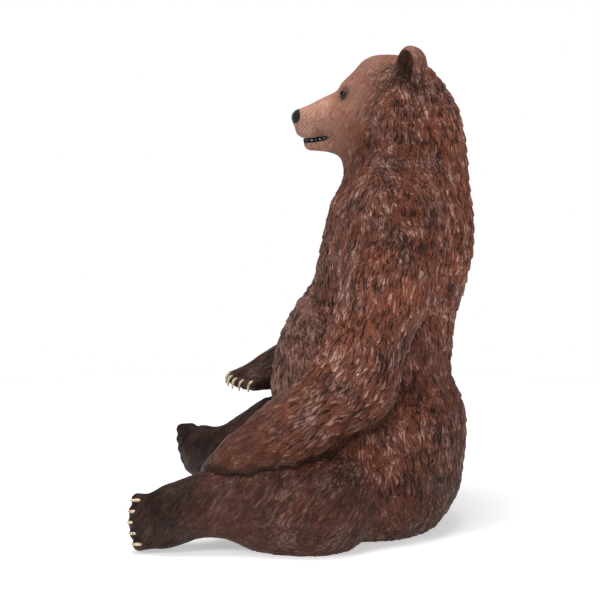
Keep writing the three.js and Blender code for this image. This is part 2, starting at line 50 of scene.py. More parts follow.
# The figure is laid out in mil, as in the frame: its ears reach up to EAR_TIPS of them
EAR_TIPS = 996.0
bear_low, bear_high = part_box("bear")
MIL = (bear_high.z - bear_low.z) / EAR_TIPS
MM = 0.001 / MIL  # a millimetre in mil

STEP = 3.2 * MM  # between the points at which the form is worked out
FACES = 195000  # triangles kept for the fur
LATTICE_LOW = (-372.0, -350.0, -24.0)
LATTICE_HIGH = (372.0, 388.0, 1012.0)
CHUNK = 120000  # points worked on at a time


# Forms as signed distances in mil at points p = (x, y, z): negative inside, positive outside
def soft_min(a, b, k):
    """The smaller of two distances, rounded off where they are less than k apart."""
    h = np.maximum(k - np.abs(a - b), 0) / k
    return np.minimum(a, b) - h * h * (0.25 * k)


def soft_max(a, b, k):
    """The larger of two distances, rounded off in the same way."""
    return -soft_min(-a, -b, k)


def ramp(start, end, x):
    """A smooth rise from 0 at the start to 1 at the end, and level beyond them."""
    t = np.clip((x - start) / (end - start), 0, 1)
    return t * t * (3 - 2 * t)


def mix(a, b, share):
    return a + (b - a) * share


def ellipsoid(centre, radii, turn=0.0):
    cos = math.cos(math.radians(turn))
    sin = math.sin(math.radians(turn))

    def distance(p):
        dx = p[0] - centre[0]
        dy = p[1] - centre[1]
        u = (cos * dx + sin * dy) / radii[0]
        v = (cos * dy - sin * dx) / radii[1]
        w = (p[2] - centre[2]) / radii[2]
        near = np.sqrt(u * u + v * v + w * w)
        slope = np.sqrt((u / radii[0]) ** 2 + (v / radii[1]) ** 2 + (w / radii[2]) ** 2) + 1e-6
        return near * (near - 1) / slope

    return distance


def rod(a, b):
    """A tapered rod with round ends: each end is x, y, z, radius."""
    d = [b[i] - a[i] for i in range(3)]
    length2 = sum(c * c for c in d)

    def distance(p):
        q = [p[i] - a[i] for i in range(3)]
        t = np.clip((q[0] * d[0] + q[1] * d[1] + q[2] * d[2]) / length2, 0, 1)
        off = sum((q[i] - t * d[i]) ** 2 for i in range(3))
        return np.sqrt(off) - mix(a[3], b[3], t)

    return distance


def blend(k, *forms):
    """Forms joined into one, rounded off where they meet."""

    def distance(p):
        d = forms[0](p)
        for form in forms[1:]:
            d = soft_min(d, form(p), k)
        return d

    return distance


def limb(k, *joints):
    """Rods from joint to joint."""
    return blend(k, *[rod(a, b) for a, b in zip(joints, joints[1:])])


# Torso: rump, belly, waist, chest, withers and neck
torso = blend(
    36,
    ellipsoid((0, 150, 128), (240, 193, 180)),
    ellipsoid((0, 160, 220), (205, 188, 150)),
    ellipsoid((0, 124, 285), (186, 182, 255)),
    ellipsoid((0, 190, 420), (170, 130, 170)),
    ellipsoid((0, 176, 520), (164, 136, 125)),
    ellipsoid((0, 202, 582), (162, 152, 200)),
    ellipsoid((0, 236, 640), (140, 116, 160)),
    ellipsoid((0, 226, 750), (122, 118, 140)),
)

# Head: skull, nape and cheeks, forehead and brow, then the muzzle with its lips, chin and nose
skull = blend(
    36,
    ellipsoid((0, 196, 878), (94, 100, 100)),
    ellipsoid((0, 206, 842), (110, 112, 98)),
    ellipsoid((0, 150, 834), (100, 76, 82)),
)
forehead = blend(
    20,
    skull,
    ellipsoid((0, 158, 926), (68, 44, 48)),
    ellipsoid((0, 127, 903), (60, 46, 33)),
)
SIDES = (1, -1)
jowls = [rod((s * 36, 128, 850, 44), (s * 15, 66, 852, 33)) for s in SIDES]
bridges = [rod((s * 14, 84, 865, 36), (s * 9, 14, 844, 26)) for s in SIDES]
lips = [ellipsoid((s * 13, 23, 824), (21, 30, 18)) for s in SIDES]
muzzle = blend(8, blend(14, blend(24, forehead, *jowls), *bridges), *lips)
chin = rod((0, 100, 806, 30), (0, 24, 798, 16))
NOSE = ((0, -2, 851), (22, 15, 15))
NOSE_PAINT = ((0, -4, 851), (36, 17, 17))  # the form within which the snout is black
snout = blend(5, blend(8, muzzle, chin), ellipsoid(*NOSE))

# Ears: each a shell, turned outward, with a hollow cut out of it
EAR_TURN = 40
EAR = ((80, 230, 950), (36, 24, 46))
EAR_HOLLOW = ((91, 217, 952), (27, 21, 34))


def ear_form(form, side):
    (x, y, z), radii = form
    return ellipsoid((side * x, y, z), radii, side * EAR_TURN)


def ear(side):
    shell = ear_form(EAR, side)
    hollow = ear_form(EAR_HOLLOW, side)
    return lambda p: soft_max(shell(p), -hollow(p), 6)


head = blend(12, snout, *[ear(s) for s in SIDES])
ear_hollows = [ear_form(EAR_HOLLOW, s) for s in SIDES]
ear_shells = [ear_form(EAR, s) for s in SIDES]

# The lips part in a groove that runs back to the corners of the mouth and narrows as it goes in
MOUTH_DEPTH = 11
MOUTH_BACK = 66
MOUTH_GAP = 7
MOUTH_FRONT = 802.5
MOUTH_RISE = 9  # from the front of the mouth to its corners
LIP_HALF = 5.2  # how far the lips reach above and below the line


def mouth_line(y):
    """Height of the line between the lips."""
    return MOUTH_FRONT + MOUTH_RISE * (np.clip(y, 0, MOUTH_BACK) / MOUTH_BACK) ** 2


def mouth(d, p):
    """The groove between the lips, at points d from the skin."""
    line = mouth_line(p[1])
    width = MOUTH_GAP * (1 + d / MOUTH_DEPTH) * ramp(MOUTH_BACK, MOUTH_BACK - 30, p[1])
    return np.maximum(np.abs(p[2] - line) - width / 2, p[1] - MOUTH_BACK)


EYE = (46, 97, 899)
EYE_RADIUS = 8
sockets = [ellipsoid((s * 54, 86, 900), (15, 15, 13)) for s in SIDES]
eyelids = [ellipsoid((s * EYE[0], EYE[1], EYE[2]), (10.5, 10.5, 10)) for s in SIDES]
slits = [ellipsoid((s * 54, 93, 899), (8, 6.5, 4.2)) for s in SIDES]
nostrils = [ellipsoid((s * 10, -15, 850), (6, 7, 5)) for s in SIDES]
tongue = rod((0, 60, 806, 16), (0, 16, 803.5, 8.5))


def cut(d, p, forms, rounding):
    """The distances d at p with the forms cut out."""
    for form in forms:
        d = soft_max(d, -form(p), rounding)
    return d


def added(d, p, forms, rounding):
    """The distances d at p with the forms added."""
    for form in forms:
        d = soft_min(d, form(p), rounding)
    return d


def face(d, p):
    """The head's distances d at p with its mouth, eyes and nostrils."""
    d = soft_max(d, -mouth(d, p), 3)
    d = added(d, p, [tongue], 2)
    d = cut(d, p, sockets, 8)
    d = added(d, p, eyelids, 1.5)
    d = cut(d, p, slits, 1.5)
    return cut(d, p, nostrils, 3)


class Paw:
    """A paw with its own frame: across the toes, along them and out of its back.

    Gap, reach and arc place the toes' tips, shift moves them all aside, and hang is 1 where the claws
    point down from a hanging hand.
    """

    def __init__(self, origin, along, back, pads, gap, reach, arc, toe_radius, hang, shift=0):
        self.origin = Vector(origin)
        self.toes = Vector(along).normalized()
        up = Vector(back)
        self.up = (up - self.toes * up.dot(self.toes)).normalized()
        self.across = self.toes.cross(self.up)
        self.pads = pads
        self.gap = gap
        self.reach = reach
        self.arc = arc
        self.toe_radius = toe_radius
        self.hang = hang
        self.shift = shift

    def tip(self, i):
        """Toe i's tip: across and along."""
        return i * self.gap + self.shift, self.reach - self.arc * (i * self.gap) ** 2

    def place(self, w, t, n):
        """A spot of the paw, in the bear's own frame."""
        return self.origin + self.across * w + self.toes * t + self.up * n

    def local(self, p):
        """The bear's points in the paw's frame."""
        d = [p[i] - self.origin[i] for i in range(3)]
        return tuple(d[0] * a[0] + d[1] * a[1] + d[2] * a[2] for a in (self.across, self.toes, self.up))

    def form(self):
        toes = []
        for i in TOES:
            w, t = self.tip(i)
            radius = self.toe_radius
            knuckle = (w - TOE_FAN * i * self.gap, t - TOE_LONG, 1, radius + 1)
            toes.append(rod(knuckle, (w, t - radius, -2, radius)))
        shape = blend(6, blend(24, *[ellipsoid(*pad) for pad in self.pads]), *toes)
        return lambda p: shape(self.local(p))


TOES = (-2, -1, 0, 1, 2)
TOE_FAN = 0.1  # how far the toes spread from knuckle to tip, over their gap
TOE_LONG = 34  # from a toe's tip back to its knuckle
FOOT = {"gap": 21.5, "reach": 52, "arc": 0.004, "toe_radius": 14, "hang": 0}
HAND = {"gap": 20, "reach": 50, "arc": 0.008, "toe_radius": 12.5, "hang": 1}
HEEL_PADS = (((0, -14, 0), (55, 62, 36)), ((0, -54, -14), (40, 42, 44)))
RAISED_HEEL_PADS = (((0, -12, 0), (64, 60, 36)), ((0, -62, -14), (44, 44, 42)))
PALM = (((0, -12, 0), (46, 48, 29)),)
left_foot = Paw((290, -259, 62), (0.2, -0.97, -0.02), (0.95, 0.18, 0.22), HEEL_PADS, **FOOT)
right_foot = Paw(
    (-290, -259, 75), (-0.22, -0.94, -0.24), (-0.95, 0.22, -0.02), RAISED_HEEL_PADS, **FOOT, shift=-20
)
left_hand = Paw((214, -124, 166), (-0.92, -0.24, -0.3), (-0.2, -0.25, 0.94), PALM, **HAND)
right_hand = Paw((-184, -126, 272), (0.68, -0.68, -0.1), (0.16, 0, 0.98), PALM, **HAND)
paws = (left_foot, right_foot, left_hand, right_hand)

# Joints of the left and the right limb: x, y, z, radius, from the body to the paw
ARM_JOINTS = (
    (
        (130, 205, 672, 80), (166, 190, 520, 84), (198, 128, 330, 78),
        (236, 0, 232, 64), (252, -82, 186, 56),
    ),
    (
        (-130, 205, 672, 80), (-172, 188, 530, 82), (-226, 130, 408, 74),
        (-238, 20, 336, 56), (-222, -88, 284, 42),
    ),
)
LEG_JOINTS = (
    ((150, 110, 110, 100), (240, -70, 106, 84), (282, -215, 84, 55)),
    ((-150, 110, 120, 100), (-238, -80, 140, 80), (-280, -222, 81, 43)),
)
arms = (
    blend(26, limb(40, *ARM_JOINTS[0]), left_hand.form()),
    blend(22, limb(40, *ARM_JOINTS[1]), right_hand.form()),
)
# Under the left elbow the thigh, flank and arm are one, without a gap between them
under_elbow = rod((198, 95, 208, 24), (186, 165, 240, 22))
thighs = (
    ellipsoid((198, 20, 86), (134, 156, 124), -18),
    ellipsoid((-196, 24, 90), (134, 156, 124), 18),
)
legs = (
    blend(20, blend(50, thighs[0], rod(*LEG_JOINTS[0][1:])), left_foot.form(), under_elbow),
    blend(20, blend(50, thighs[1], rod(*LEG_JOINTS[1][1:])), right_foot.form()),
)
SHOULDERS = 850  # the arms and legs reach no higher
HEAD_LOW = 690  # the head reaches no lower
FACE_LOW = 770  # mouth, eyes and nostrils lie above this
FACE_BACK = 150  # and before this
FAR = 1000.0

# Rounding where the forms meet
NECK_ROUND = 60
HIP_ROUND = 30
ARM_ROUND = 12
SHOULDER_ROUND = 60  # more, where the arm leaves the trunk


def parts(p):
    """Distances of the trunk with the head, the arm and the leg on the point's own side."""
    arm = np.full(p[0].shape, FAR, np.float32)
    leg = np.full(p[0].shape, FAR, np.float32)
    body = torso(p)
    upper = p[2] > HEAD_LOW
    q = tuple(c[upper] for c in p)
    body[upper] = soft_min(body[upper], head(q), NECK_ROUND)
    in_face = (p[1] < FACE_BACK) & (p[2] > FACE_LOW)
    q = tuple(c[in_face] for c in p)
    body[in_face] = face(body[in_face], q)
    for side in (0, 1):
        here = (p[2] < SHOULDERS) & ((p[0] > 0) if side == 0 else (p[0] <= 0))
        q = tuple(c[here] for c in p)
        arm[here] = arms[side](q)
        leg[here] = legs[side](q)
    return body, arm, leg


def near_shoulder(p):
    """0 where the arm hangs free of the trunk, 1 where it has merged with it."""
    return ramp(470, 640, p[2])


def smooth(p):
    """The bear without its fur."""
    body, arm, leg = parts(p)
    arm_round = ARM_ROUND + SHOULDER_ROUND * near_shoulder(p)
    return soft_min(soft_min(body, leg, HIP_ROUND), arm, arm_round)


def in_chunks(function, points):
    """The function of points (N, 3), worked out CHUNK points at a time."""
    out = []
    for start in range(0, len(points), CHUNK):
        piece = points[start:start + CHUNK]
        out.append(function(tuple(np.ascontiguousarray(piece[:, i]) for i in range(3))))
    if isinstance(out[0], tuple):
        return tuple(np.concatenate([o[i] for o in out]) for i in range(len(out[0])))
    return np.concatenate(out)


def trace(field, low, high, step):
    """Points (N, 3) and four-sided faces of the surface where the field is zero."""
    block = 4  # the field is worked out once a block, and at each of its points near the surface
    counts = [int(math.ceil((high[a] - low[a]) / (step * block))) for a in range(3)]
    middles = [low[a] + (np.arange(counts[a]) + 0.5 - 0.5 / block) * step * block for a in range(3)]
    grid = np.stack(np.meshgrid(*middles, indexing="ij"), -1).reshape(-1, 3).astype(np.float32)
    coarse = in_chunks(field, grid)
    reach = step * block * 0.5 * math.sqrt(3) * 1.25  # to a block's corners and a quarter more
    value = np.where(coarse < 0, -step, step).astype(np.float32).reshape(counts)
    value = value.repeat(block, 0).repeat(block, 1).repeat(block, 2)
    near = np.flatnonzero(np.abs(coarse) < reach)
    corner = np.stack(np.unravel_index(near, counts), -1) * block
    inner = np.stack(np.meshgrid(*[np.arange(block)] * 3, indexing="ij"), -1).reshape(-1, 3)
    cells = (corner[:, None, :] + inner[None]).reshape(-1, 3)
    spots = (cells * step + np.array(low)).astype(np.float32)
    fine = in_chunks(field, spots)
    value[cells[:, 0], cells[:, 1], cells[:, 2]] = np.clip(fine, -step * 2, step * 2)
    volume = openvdb.FloatGrid(step * 2)
    volume.copyFromArray(value)
    points, faces = volume.convertToQuads(0.0)
    return points.astype(np.float32) * step + np.array(low, np.float32), faces


def slope(field, points):
    """Unit normals of the field at the points."""
    reach = 0.8
    total = np.zeros_like(points)
    for corner in ((1, -1, -1), (-1, -1, 1), (-1, 1, -1), (1, 1, 1)):
        way = np.array(corner, np.float32)
        total += in_chunks(field, points + reach * way)[:, None] * way
    return total / (np.linalg.norm(total, axis=1, keepdims=True) + 1e-9)


# Chance: whole-number hashes of lattice cells, so every run is alike
def hashed(i, j, k, seed):
    h = i * np.int64(73856093) ^ j * np.int64(19349663) ^ k * np.int64(83492791)
    h = h ^ np.int64(seed * 2654435)
    h = (h ^ (h >> 13)) * np.int64(1274126177) & np.int64(0x7FFFFFFF)
    return h ^ (h >> 15)


def chance(h, bits):
    """Part of a hash as a number from 0 to 1."""
    return ((h >> bits) & 1023).astype(np.float32) / 1023


def noise(p, size, seed):
    """Smooth noise from -1 to 1 with lumps of the given size."""
    cell = [np.floor(c / size).astype(np.int64) for c in p]
    rises = [ramp(0, 1, c / size - i) for c, i in zip(p, cell)]
    near = [(1 - t, t) for t in rises]
    value = 0
    for a, b, c in itertools.product((0, 1), repeat=3):
        weight = near[0][a] * near[1][b] * near[2][c]
        value = value + weight * chance(hashed(cell[0] + a, cell[1] + b, cell[2] + c, seed), 4)
    return 2 * value - 1


# The hair's own bends, broad and short: how far they carry it aside, and how wide they are
SWIRL = 22 * MM
SWIRL_WIDE = 190 * MM
CURL = 5 * MM
CURL_WIDE = 60 * MM


# Fur coordinates: two across the hair and one along it, for the trunk, the head and each limb
def waves(q, seed):
    """The coordinates with the hair's own bends."""
    u = q[0] + SWIRL * noise(q, SWIRL_WIDE, seed) + CURL * noise(q, CURL_WIDE, seed + 1)
    v = q[1] + SWIRL * noise(q, SWIRL_WIDE, seed + 2) + CURL * noise(q, CURL_WIDE, seed + 3)
    return u, v, q[2]


BACK_LEAN = 0.15  # the trunk's hair leans back as it falls
CHEEK_LEAN = 0.46  # and that of the head and throat leans forward


def trunk_hair(p):
    return waves((p[0], p[1] + BACK_LEAN * p[2], -p[2]), 10)


def head_hair(p):
    return waves((p[0], p[1] - CHEEK_LEAN * p[2], -p[2]), 20)


BEYOND = 9  # a limb's end bones count as running on by this many of their lengths
BONE_CORE = 20 ** 2  # within 20 mil of a bone its pull hardly grows


def limb_hair(joints, seed, slant=0.0):
    """Along the limb from its first joint to its last, or at a slant to it, in degrees."""
    cos = math.cos(math.radians(slant))
    sin = math.sin(math.radians(slant))
    spans = []
    start = 0.0
    for a, b in zip(joints, joints[1:]):
        a = np.array(a[:3], np.float32)
        d = np.array(b[:3], np.float32) - a
        length = float(np.linalg.norm(d))
        spans.append((a, d, length, start))
        start += length

    def coordinates(p):
        total = 0
        along = 0
        bone = [0, 0, 0]
        axis = [0, 0, 0]
        for n, (a, d, length, begin) in enumerate(spans):
            q = [p[i] - a[i] for i in range(3)]
            t = (q[0] * d[0] + q[1] * d[1] + q[2] * d[2]) / length ** 2
            first = -BEYOND if n == 0 else 0
            last = BEYOND if n == len(spans) - 1 else 1
            nearest = np.clip(t, first, last)
            off = sum((q[i] - nearest * d[i]) ** 2 for i in range(3))
            weight = 1 / (off + BONE_CORE) ** 3
            total = total + weight
            along = along + weight * (begin + t * length)
            bone = [bone[i] + weight * (a[i] + t * d[i]) for i in range(3)]
            axis = [axis[i] + weight * d[i] / length for i in range(3)]
        off = [p[i] - bone[i] / total for i in range(3)]
        axis = [c / total for c in axis]
        norm = np.sqrt(axis[1] ** 2 + axis[2] ** 2) + 1e-6
        over = (off[1] * axis[2] - off[2] * axis[1]) / norm
        along = along / total
        return waves((off[0], cos * over + sin * along, cos * along - sin * over), seed)

    return coordinates


THIGH_SLANT = 45  # degrees
arm_hair = [limb_hair(ARM_JOINTS[i], 30 + 10 * i) for i in (0, 1)]
leg_hair = [limb_hair(LEG_JOINTS[i], 50 + 10 * i, THIGH_SLANT) for i in (0, 1)]

JITTER = 0.9  # how far the locks stray from the middles of their cells
EVEN_JITTER = 0.1  # and along the hair where they line up in rows
GROOVE_WIDE = 0.24  # of a lock's width
TIP_TAPER = 1.1  # how much a lock narrows along its length
LONG_PULL = 0.8  # weight of the distance along the hair, beside that across it


def tufts(q, width, length, seed, even=0.0):
    """Locks of hair, from 0 in the grooves to 1 at the tips. Even ones line up in rows."""
    spot = [q[0] / width, q[1] / width, q[2] / length]
    cell = [np.floor(c).astype(np.int64) for c in spot]
    best = np.full(q[0].shape, 9.0, np.float32)
    second = best.copy()
    height = np.zeros_like(best)
    stagger = mix(JITTER, EVEN_JITTER, even)
    for a, b, c in itertools.product((-1, 0, 1), repeat=3):
        h = hashed(cell[0] + a, cell[1] + b, cell[2] + c, seed)
        du = spot[0] - (cell[0] + a) - 0.5 - JITTER * (chance(h, 0) - 0.5)
        dv = spot[1] - (cell[1] + b) - 0.5 - JITTER * (chance(h, 8) - 0.5)
        dt = spot[2] - (cell[2] + c) - 0.5 - stagger * (chance(h, 16) - 0.5)
        taper = 1 + TIP_TAPER * np.clip(dt + 0.5, 0, 1.2)
        far = (du * du + dv * dv) * taper + LONG_PULL * dt * dt
        closer = far < best
        second = np.where(closer, best, np.minimum(second, far))
        height = np.where(closer, dt, height)
        best = np.where(closer, far, best)
    groove = ramp(0, GROOVE_WIDE, np.sqrt(second) - np.sqrt(best))
    return (0.1 + 0.9 * ramp(-0.6, 0.45, height)) * (0.15 + 0.85 * groove)


FUR_RELIEF = 9 * MM  # the full depth of the fur
TUFT_WIDE = 19 * MM
TUFT_LONG = 41 * MM
TUFT_SHARE = 0.62
LOCK_WIDE = 50 * MM
LOCK_LONG = 105 * MM
LOCK_SHARE = 0.38


def coat(q, seed, even=0.0):
    """Broad locks with finer tufts on them, from 0 to 1."""
    fine = tufts(q, TUFT_WIDE, TUFT_LONG, seed, even)
    broad = tufts(q, LOCK_WIDE, LOCK_LONG, seed + 1)
    return TUFT_SHARE * fine + LOCK_SHARE * broad


def limb_shares(body, arm, leg, merge):
    """How far a point is on a leg and on an arm, merged over this distance on either side."""
    on_leg = ramp(-merge, merge, np.minimum(body, arm) - leg)
    on_arm = ramp(-merge, merge, np.minimum(body, leg) - arm)
    return on_leg, on_arm


FUR_MERGE = 22  # distance over which one set of fur gives way to the next
STRAY = 0.3  # the edge between two sets of fur wanders by this share
STRAY_WIDE = 34 * MM
STRAY_EDGE = (0.32, 0.68)  # shares between which the change shows, so that it is sharper


def weights(p):
    """How far a point's fur is the head's, the arm's and the leg's; the rest is the trunk's."""
    body, arm, leg = parts(p)
    stray = STRAY * noise(p, STRAY_WIDE, 5)
    on_leg = ramp(-FUR_MERGE, FUR_MERGE, body - leg)
    below_shoulder = ramp(700, 560, p[2])
    on_arm = ramp(-FUR_MERGE, FUR_MERGE, np.minimum(body, leg) - arm) * below_shoulder
    on_head = ramp(560, 700, p[2]) * ramp(240, 120, p[1] - 0.2 * (p[2] - 800))
    on_leg, on_arm, on_head = [ramp(*STRAY_EDGE, w + stray) for w in (on_leg, on_arm, on_head)]
    return on_head * (1 - on_arm), on_arm, on_leg * (1 - on_arm)


def hair(p):
    """The coat's height at points near the skin, and the fur coordinates that the paint uses."""
    on_head, on_arm, on_leg = weights(p)
    trunk = trunk_hair(p)
    on_back = ramp(140, 240, p[1])
    height = coat(trunk, 70, on_back)
    other = [c.copy() for c in trunk]
    share_of_other = np.maximum(np.maximum(on_head, on_arm), on_leg)
    left = p[0] > 0
    sets = [(on_head > 0, on_head, head_hair, 80)]
    for side in (0, 1):
        here = left if side == 0 else ~left
        sets.append(((on_leg > 0) & here, on_leg, leg_hair[side], 100 + side))
        sets.append(((on_arm > 0) & here, on_arm, arm_hair[side], 90 + side))
    for where, weight, coordinates, seed in sets:
        if not where.any():
            continue
        q = coordinates(tuple(c[where] for c in p))
        height[where] = mix(height[where], coat(q, seed), weight[where])
        for i in range(3):
            other[i][where] = q[i]
    return (height, share_of_other, *trunk, *other)


LEAST_FUR = 0.08  # of the full depth
SHORT_MERGE = 12  # distance over which the limbs' shorter fur gives way to the trunk's


def fur_depth(p):
    """Depth of the fur in mil: full on trunk and arms, low on the shins, least on face and paws."""
    behind_face = ramp(105, 200, p[1] + 0.25 * (880 - p[2]))
    below_head = ramp(770, 700, p[2])
    below_ear_tips = ramp(990, 930, p[2])
    depth = np.maximum(behind_face, below_head) * below_ear_tips
    on_leg, on_arm = limb_shares(*parts(p), SHORT_MERGE)
    depth = depth * mix(1, 0.7 * ramp(-270, 60, p[1]), on_leg)
    depth = depth * mix(1, ramp(-150, 130, p[1]), on_arm)
    depth = depth * mix(0.65, 1, ramp(60, 220, p[2]))
    return FUR_RELIEF * (LEAST_FUR + (1 - LEAST_FUR) * depth)


def crease(p):
    """1 in the open and 0 in the creases between the arms and the rest."""
    body, arm, leg = parts(p)
    return ramp(2, 16, np.abs(np.minimum(body, leg) - arm) + 24 * near_shoulder(p))


SKIN_HEIGHT = 0.35  # the height of coat that lies level with the smooth bear
CREASE_FUR = 0.35  # share of the fur's depth that is left in a crease


def carved(points):
    """The points of the smooth bear moved out along its normals by its fur."""
    normals = slope(smooth, points)
    points = points - in_chunks(smooth, points)[:, None] * normals
    height = in_chunks(hair, points)[0]
    open_share = CREASE_FUR + (1 - CREASE_FUR) * in_chunks(crease, points)
    depth = in_chunks(fur_depth, points) * open_share
    return points + ((height - SKIN_HEIGHT) * depth)[:, None] * normals


def new_object(name, points, faces):
    """A piece of triangles or of four-sided faces, riding on the one body."""
    mesh = bpy.data.meshes.new(name)
    count = len(faces)
    sides = len(faces[0])
    mesh.vertices.add(len(points))
    mesh.vertices.foreach_set("co", np.asarray(points, np.float32).ravel())
    mesh.loops.add(count * sides)
    mesh.loops.foreach_set("vertex_index", np.asarray(faces, np.int32).ravel())
    mesh.polygons.add(count)
    mesh.polygons.foreach_set("loop_start", np.arange(count, dtype=np.int32) * sides)
    mesh.update(calc_edges=True)
    mesh.validate()
    piece = bpy.data.objects.new(name, mesh)
    bpy.context.scene.collection.objects.link(piece)
    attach(piece, "root")
    return piece


def decimate(piece, faces):
    """Thins a mesh of four-sided faces out to this many triangles."""
    modifier = piece.modifiers.new("Decimate", "DECIMATE")
    modifier.ratio = min(1.0, faces / (2 * len(piece.data.polygons)))
    graph = bpy.context.evaluated_depsgraph_get()
    mesh = bpy.data.meshes.new_from_object(piece.evaluated_get(graph))
    piece.modifiers.clear()
    piece.data = mesh


def points_of(piece):
    co = np.empty(len(piece.data.vertices) * 3, np.float32)
    piece.data.vertices.foreach_get("co", co)
    return co.reshape(-1, 3)


def shade_smooth(piece):
    polygons = piece.data.polygons
    polygons.foreach_set("use_smooth", np.ones(len(polygons), bool))


def flat_bottom(points):
    """What lies under the ground is drawn up to it."""
    points = points.copy()
    points[:, 2] = np.maximum(points[:, 2], 0)
    return points


def to_metres(points, shift):
    return (np.asarray(points) + np.array([shift[0], shift[1], 0])) * MIL


skin_points, skin_faces = trace(smooth, LATTICE_LOW, LATTICE_HIGH, STEP)
fur_points = carved(skin_points)
shift = -(fur_points.min(0) + fur_points.max(0))[:2] / 2  # brings the bear over the frame's origin
bear = new_object("fur", fur_points, skin_faces)
decimate(bear, FACES)


def ear_paint(p):
    """How far a point has the dark paint of an ear's hollow, and whether it is on the upper rim."""
    hollow = np.minimum(ear_hollows[0](p), ear_hollows[1](p))
    rim = np.minimum(ear_shells[0](p), ear_shells[1](p))
    in_ear = np.maximum(ramp(3, -1, hollow), 0.7 * ramp(11, 0, hollow) * ramp(226, 206, p[1]))
    front = ramp(222, 210, p[1]) * ramp(915, 925, p[2])
    in_ear = np.maximum(in_ear, 0.85 * ramp(6, 0, rim) * front)
    in_ear = np.maximum(in_ear, 0.4 * ramp(34, 4, hollow) * ramp(225, 200, p[1]))
    return in_ear, ramp(8, 2, rim) * ramp(925, 950, p[2])


# Painted light and shade, region by region, as factors on the paint: lighter high up, on the upper back
# and on the upper arms, darker low down, on the flanks, the neck, the legs and the forearms
HIGH_SHADE = 1.1
LOW_SHADE = 0.52
UPPER_BACK_SHADE = 1.4
FLANK_SHADE = 0.82
NECK_SHADE = 0.74
LEG_SHADE = 0.42
UPPER_ARM_SHADE = 1.18
FOREARM_SHADE = 0.74
SHADE_MERGE = 25  # distance over which a limb's painted light and shade gives way to the trunk's
# Painted shade in the creases: the factor left at their bottoms
CREASE_SHADE = 0.4
BAND_CONTRAST = 0.2  # of the painted light and shade in bands across the back
BAND_WIDE = 30 * MM
PATCH_CONTRAST = 0.16
PATCH_WIDE = 75 * MM


def tone_and_painted_light(p, body, arm, leg):
    x, y, z = p
    low = ramp(260, 70, z)
    upper_back = ramp(280, 340, y) * ramp(430, 540, z)
    flank = ramp(290, 240, y) * ramp(240, 330, z) * ramp(760, 640, z)
    neck = ramp(70, 115, y) * ramp(290, 240, y) * ramp(640, 760, z)
    # Darker low down: partly darker paint, partly painted shade under the light from above
    shade = mix(HIGH_SHADE, LOW_SHADE, low)
    shade = shade * mix(1.0, UPPER_BACK_SHADE, upper_back)
    shade = shade * mix(1.0, FLANK_SHADE, flank)
    shade = shade * mix(1.0, NECK_SHADE, neck)
    on_leg, on_arm = limb_shares(body, arm, leg, SHADE_MERGE)
    shade = mix(shade, LEG_SHADE, on_leg)
    arm_shade = mix(UPPER_ARM_SHADE, FOREARM_SHADE, ramp(430, 290, z))
    shade = mix(shade, arm_shade, on_arm * ramp(640, 520, z))
    # Bands of painted light and shade across the back, and patches of the paint's own tone
    bands = noise((x / 4, y / 4, z + 0.3 * y), BAND_WIDE, 7) * ramp(150, 260, y)
    patches = noise(p, PATCH_WIDE, 8)
    shade = shade * (1 + BAND_CONTRAST * bands + PATCH_CONTRAST * patches)
    # Painted shade in the creases between the arms and the rest
    return shade * (CREASE_SHADE + (1 - CREASE_SHADE) * crease(p))


# Strength of the dark and the pale paint by place, where it isn't full
LEFT_HAND_DARK = 0.55
EAR_DARK = 0.95
CHEEK_PALE = 0.55
RIM_PALE = 0.45


def paint_masks(p):
    """Where the paint is dark (paws, shins, ears), pale (face), of the belly, black (lips), and its
    painted light and shade.
    """
    x, y, z = p
    body, arm, leg = parts(p)
    on_leg = (leg < body) & (leg < arm)
    on_arm = (arm < body) & (arm < leg)
    dark = np.where(on_leg, ramp(-60, -240, y), 0)
    hand = ramp(20, -90, y) * np.where(x < 0, 1.0, LEFT_HAND_DARK)
    dark = np.maximum(dark, np.where(on_arm, hand, 0))
    in_ear, on_rim = ear_paint(p)
    dark = np.maximum(dark, EAR_DARK * in_ear)
    pale = np.maximum(ramp(96, 50, y), CHEEK_PALE * ramp(190, 100, y - 0.5 * (z - 880)))
    pale = pale * ramp(760, 800, z)
    pale = np.maximum(pale, RIM_PALE * on_rim) * (1 - in_ear)
    belly = ramp(120, 0, y) * ramp(720, 620, z) * ramp(150, 260, z)
    belly = np.where(on_arm | on_leg, 0, belly)
    beside = np.abs(z - mouth_line(y))
    lips_black = ramp(6, 3, beside) * ramp(MOUTH_BACK, MOUTH_BACK - 12, y) * ramp(760, 770, z)
    return dark, pale, belly, lips_black, tone_and_painted_light(p, body, arm, leg)


def add_values(piece, name, values):
    """A number or a vector for each point of the piece, which the paint's nodes read by its name."""
    kind, key = ("FLOAT", "value") if values.ndim == 1 else ("FLOAT_VECTOR", "vector")
    attribute = piece.data.attributes.new(name, kind, "POINT")
    attribute.data.foreach_set(key, np.ascontiguousarray(values, np.float32).ravel())


def finish_fur(piece):
    """The paint's values on each point, and the piece's place in metres."""
    points = points_of(piece)
    height, other, *coordinates = in_chunks(hair, points)
    depth = in_chunks(fur_depth, points)
    stand = in_chunks(smooth, points) / depth + SKIN_HEIGHT
    add_values(piece, "stand", np.clip(stand, 0, 1))
    add_values(piece, "other", other)
    add_values(piece, "hair_a", np.stack(coordinates[:3], 1) * MIL)
    add_values(piece, "hair_b", np.stack(coordinates[3:], 1) * MIL)
    masks = in_chunks(paint_masks, points)
    for name, values in zip(("dark", "pale", "belly", "lips", "shade"), masks):
        add_values(piece, name, values)
    add_values(piece, "depth", depth / FUR_RELIEF)
    final = to_metres(flat_bottom(points), shift)
    piece.data.vertices.foreach_set("co", final.astype(np.float32).ravel())
    shade_smooth(piece)
    piece.data.update()


finish_fur(bear)
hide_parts("bear")


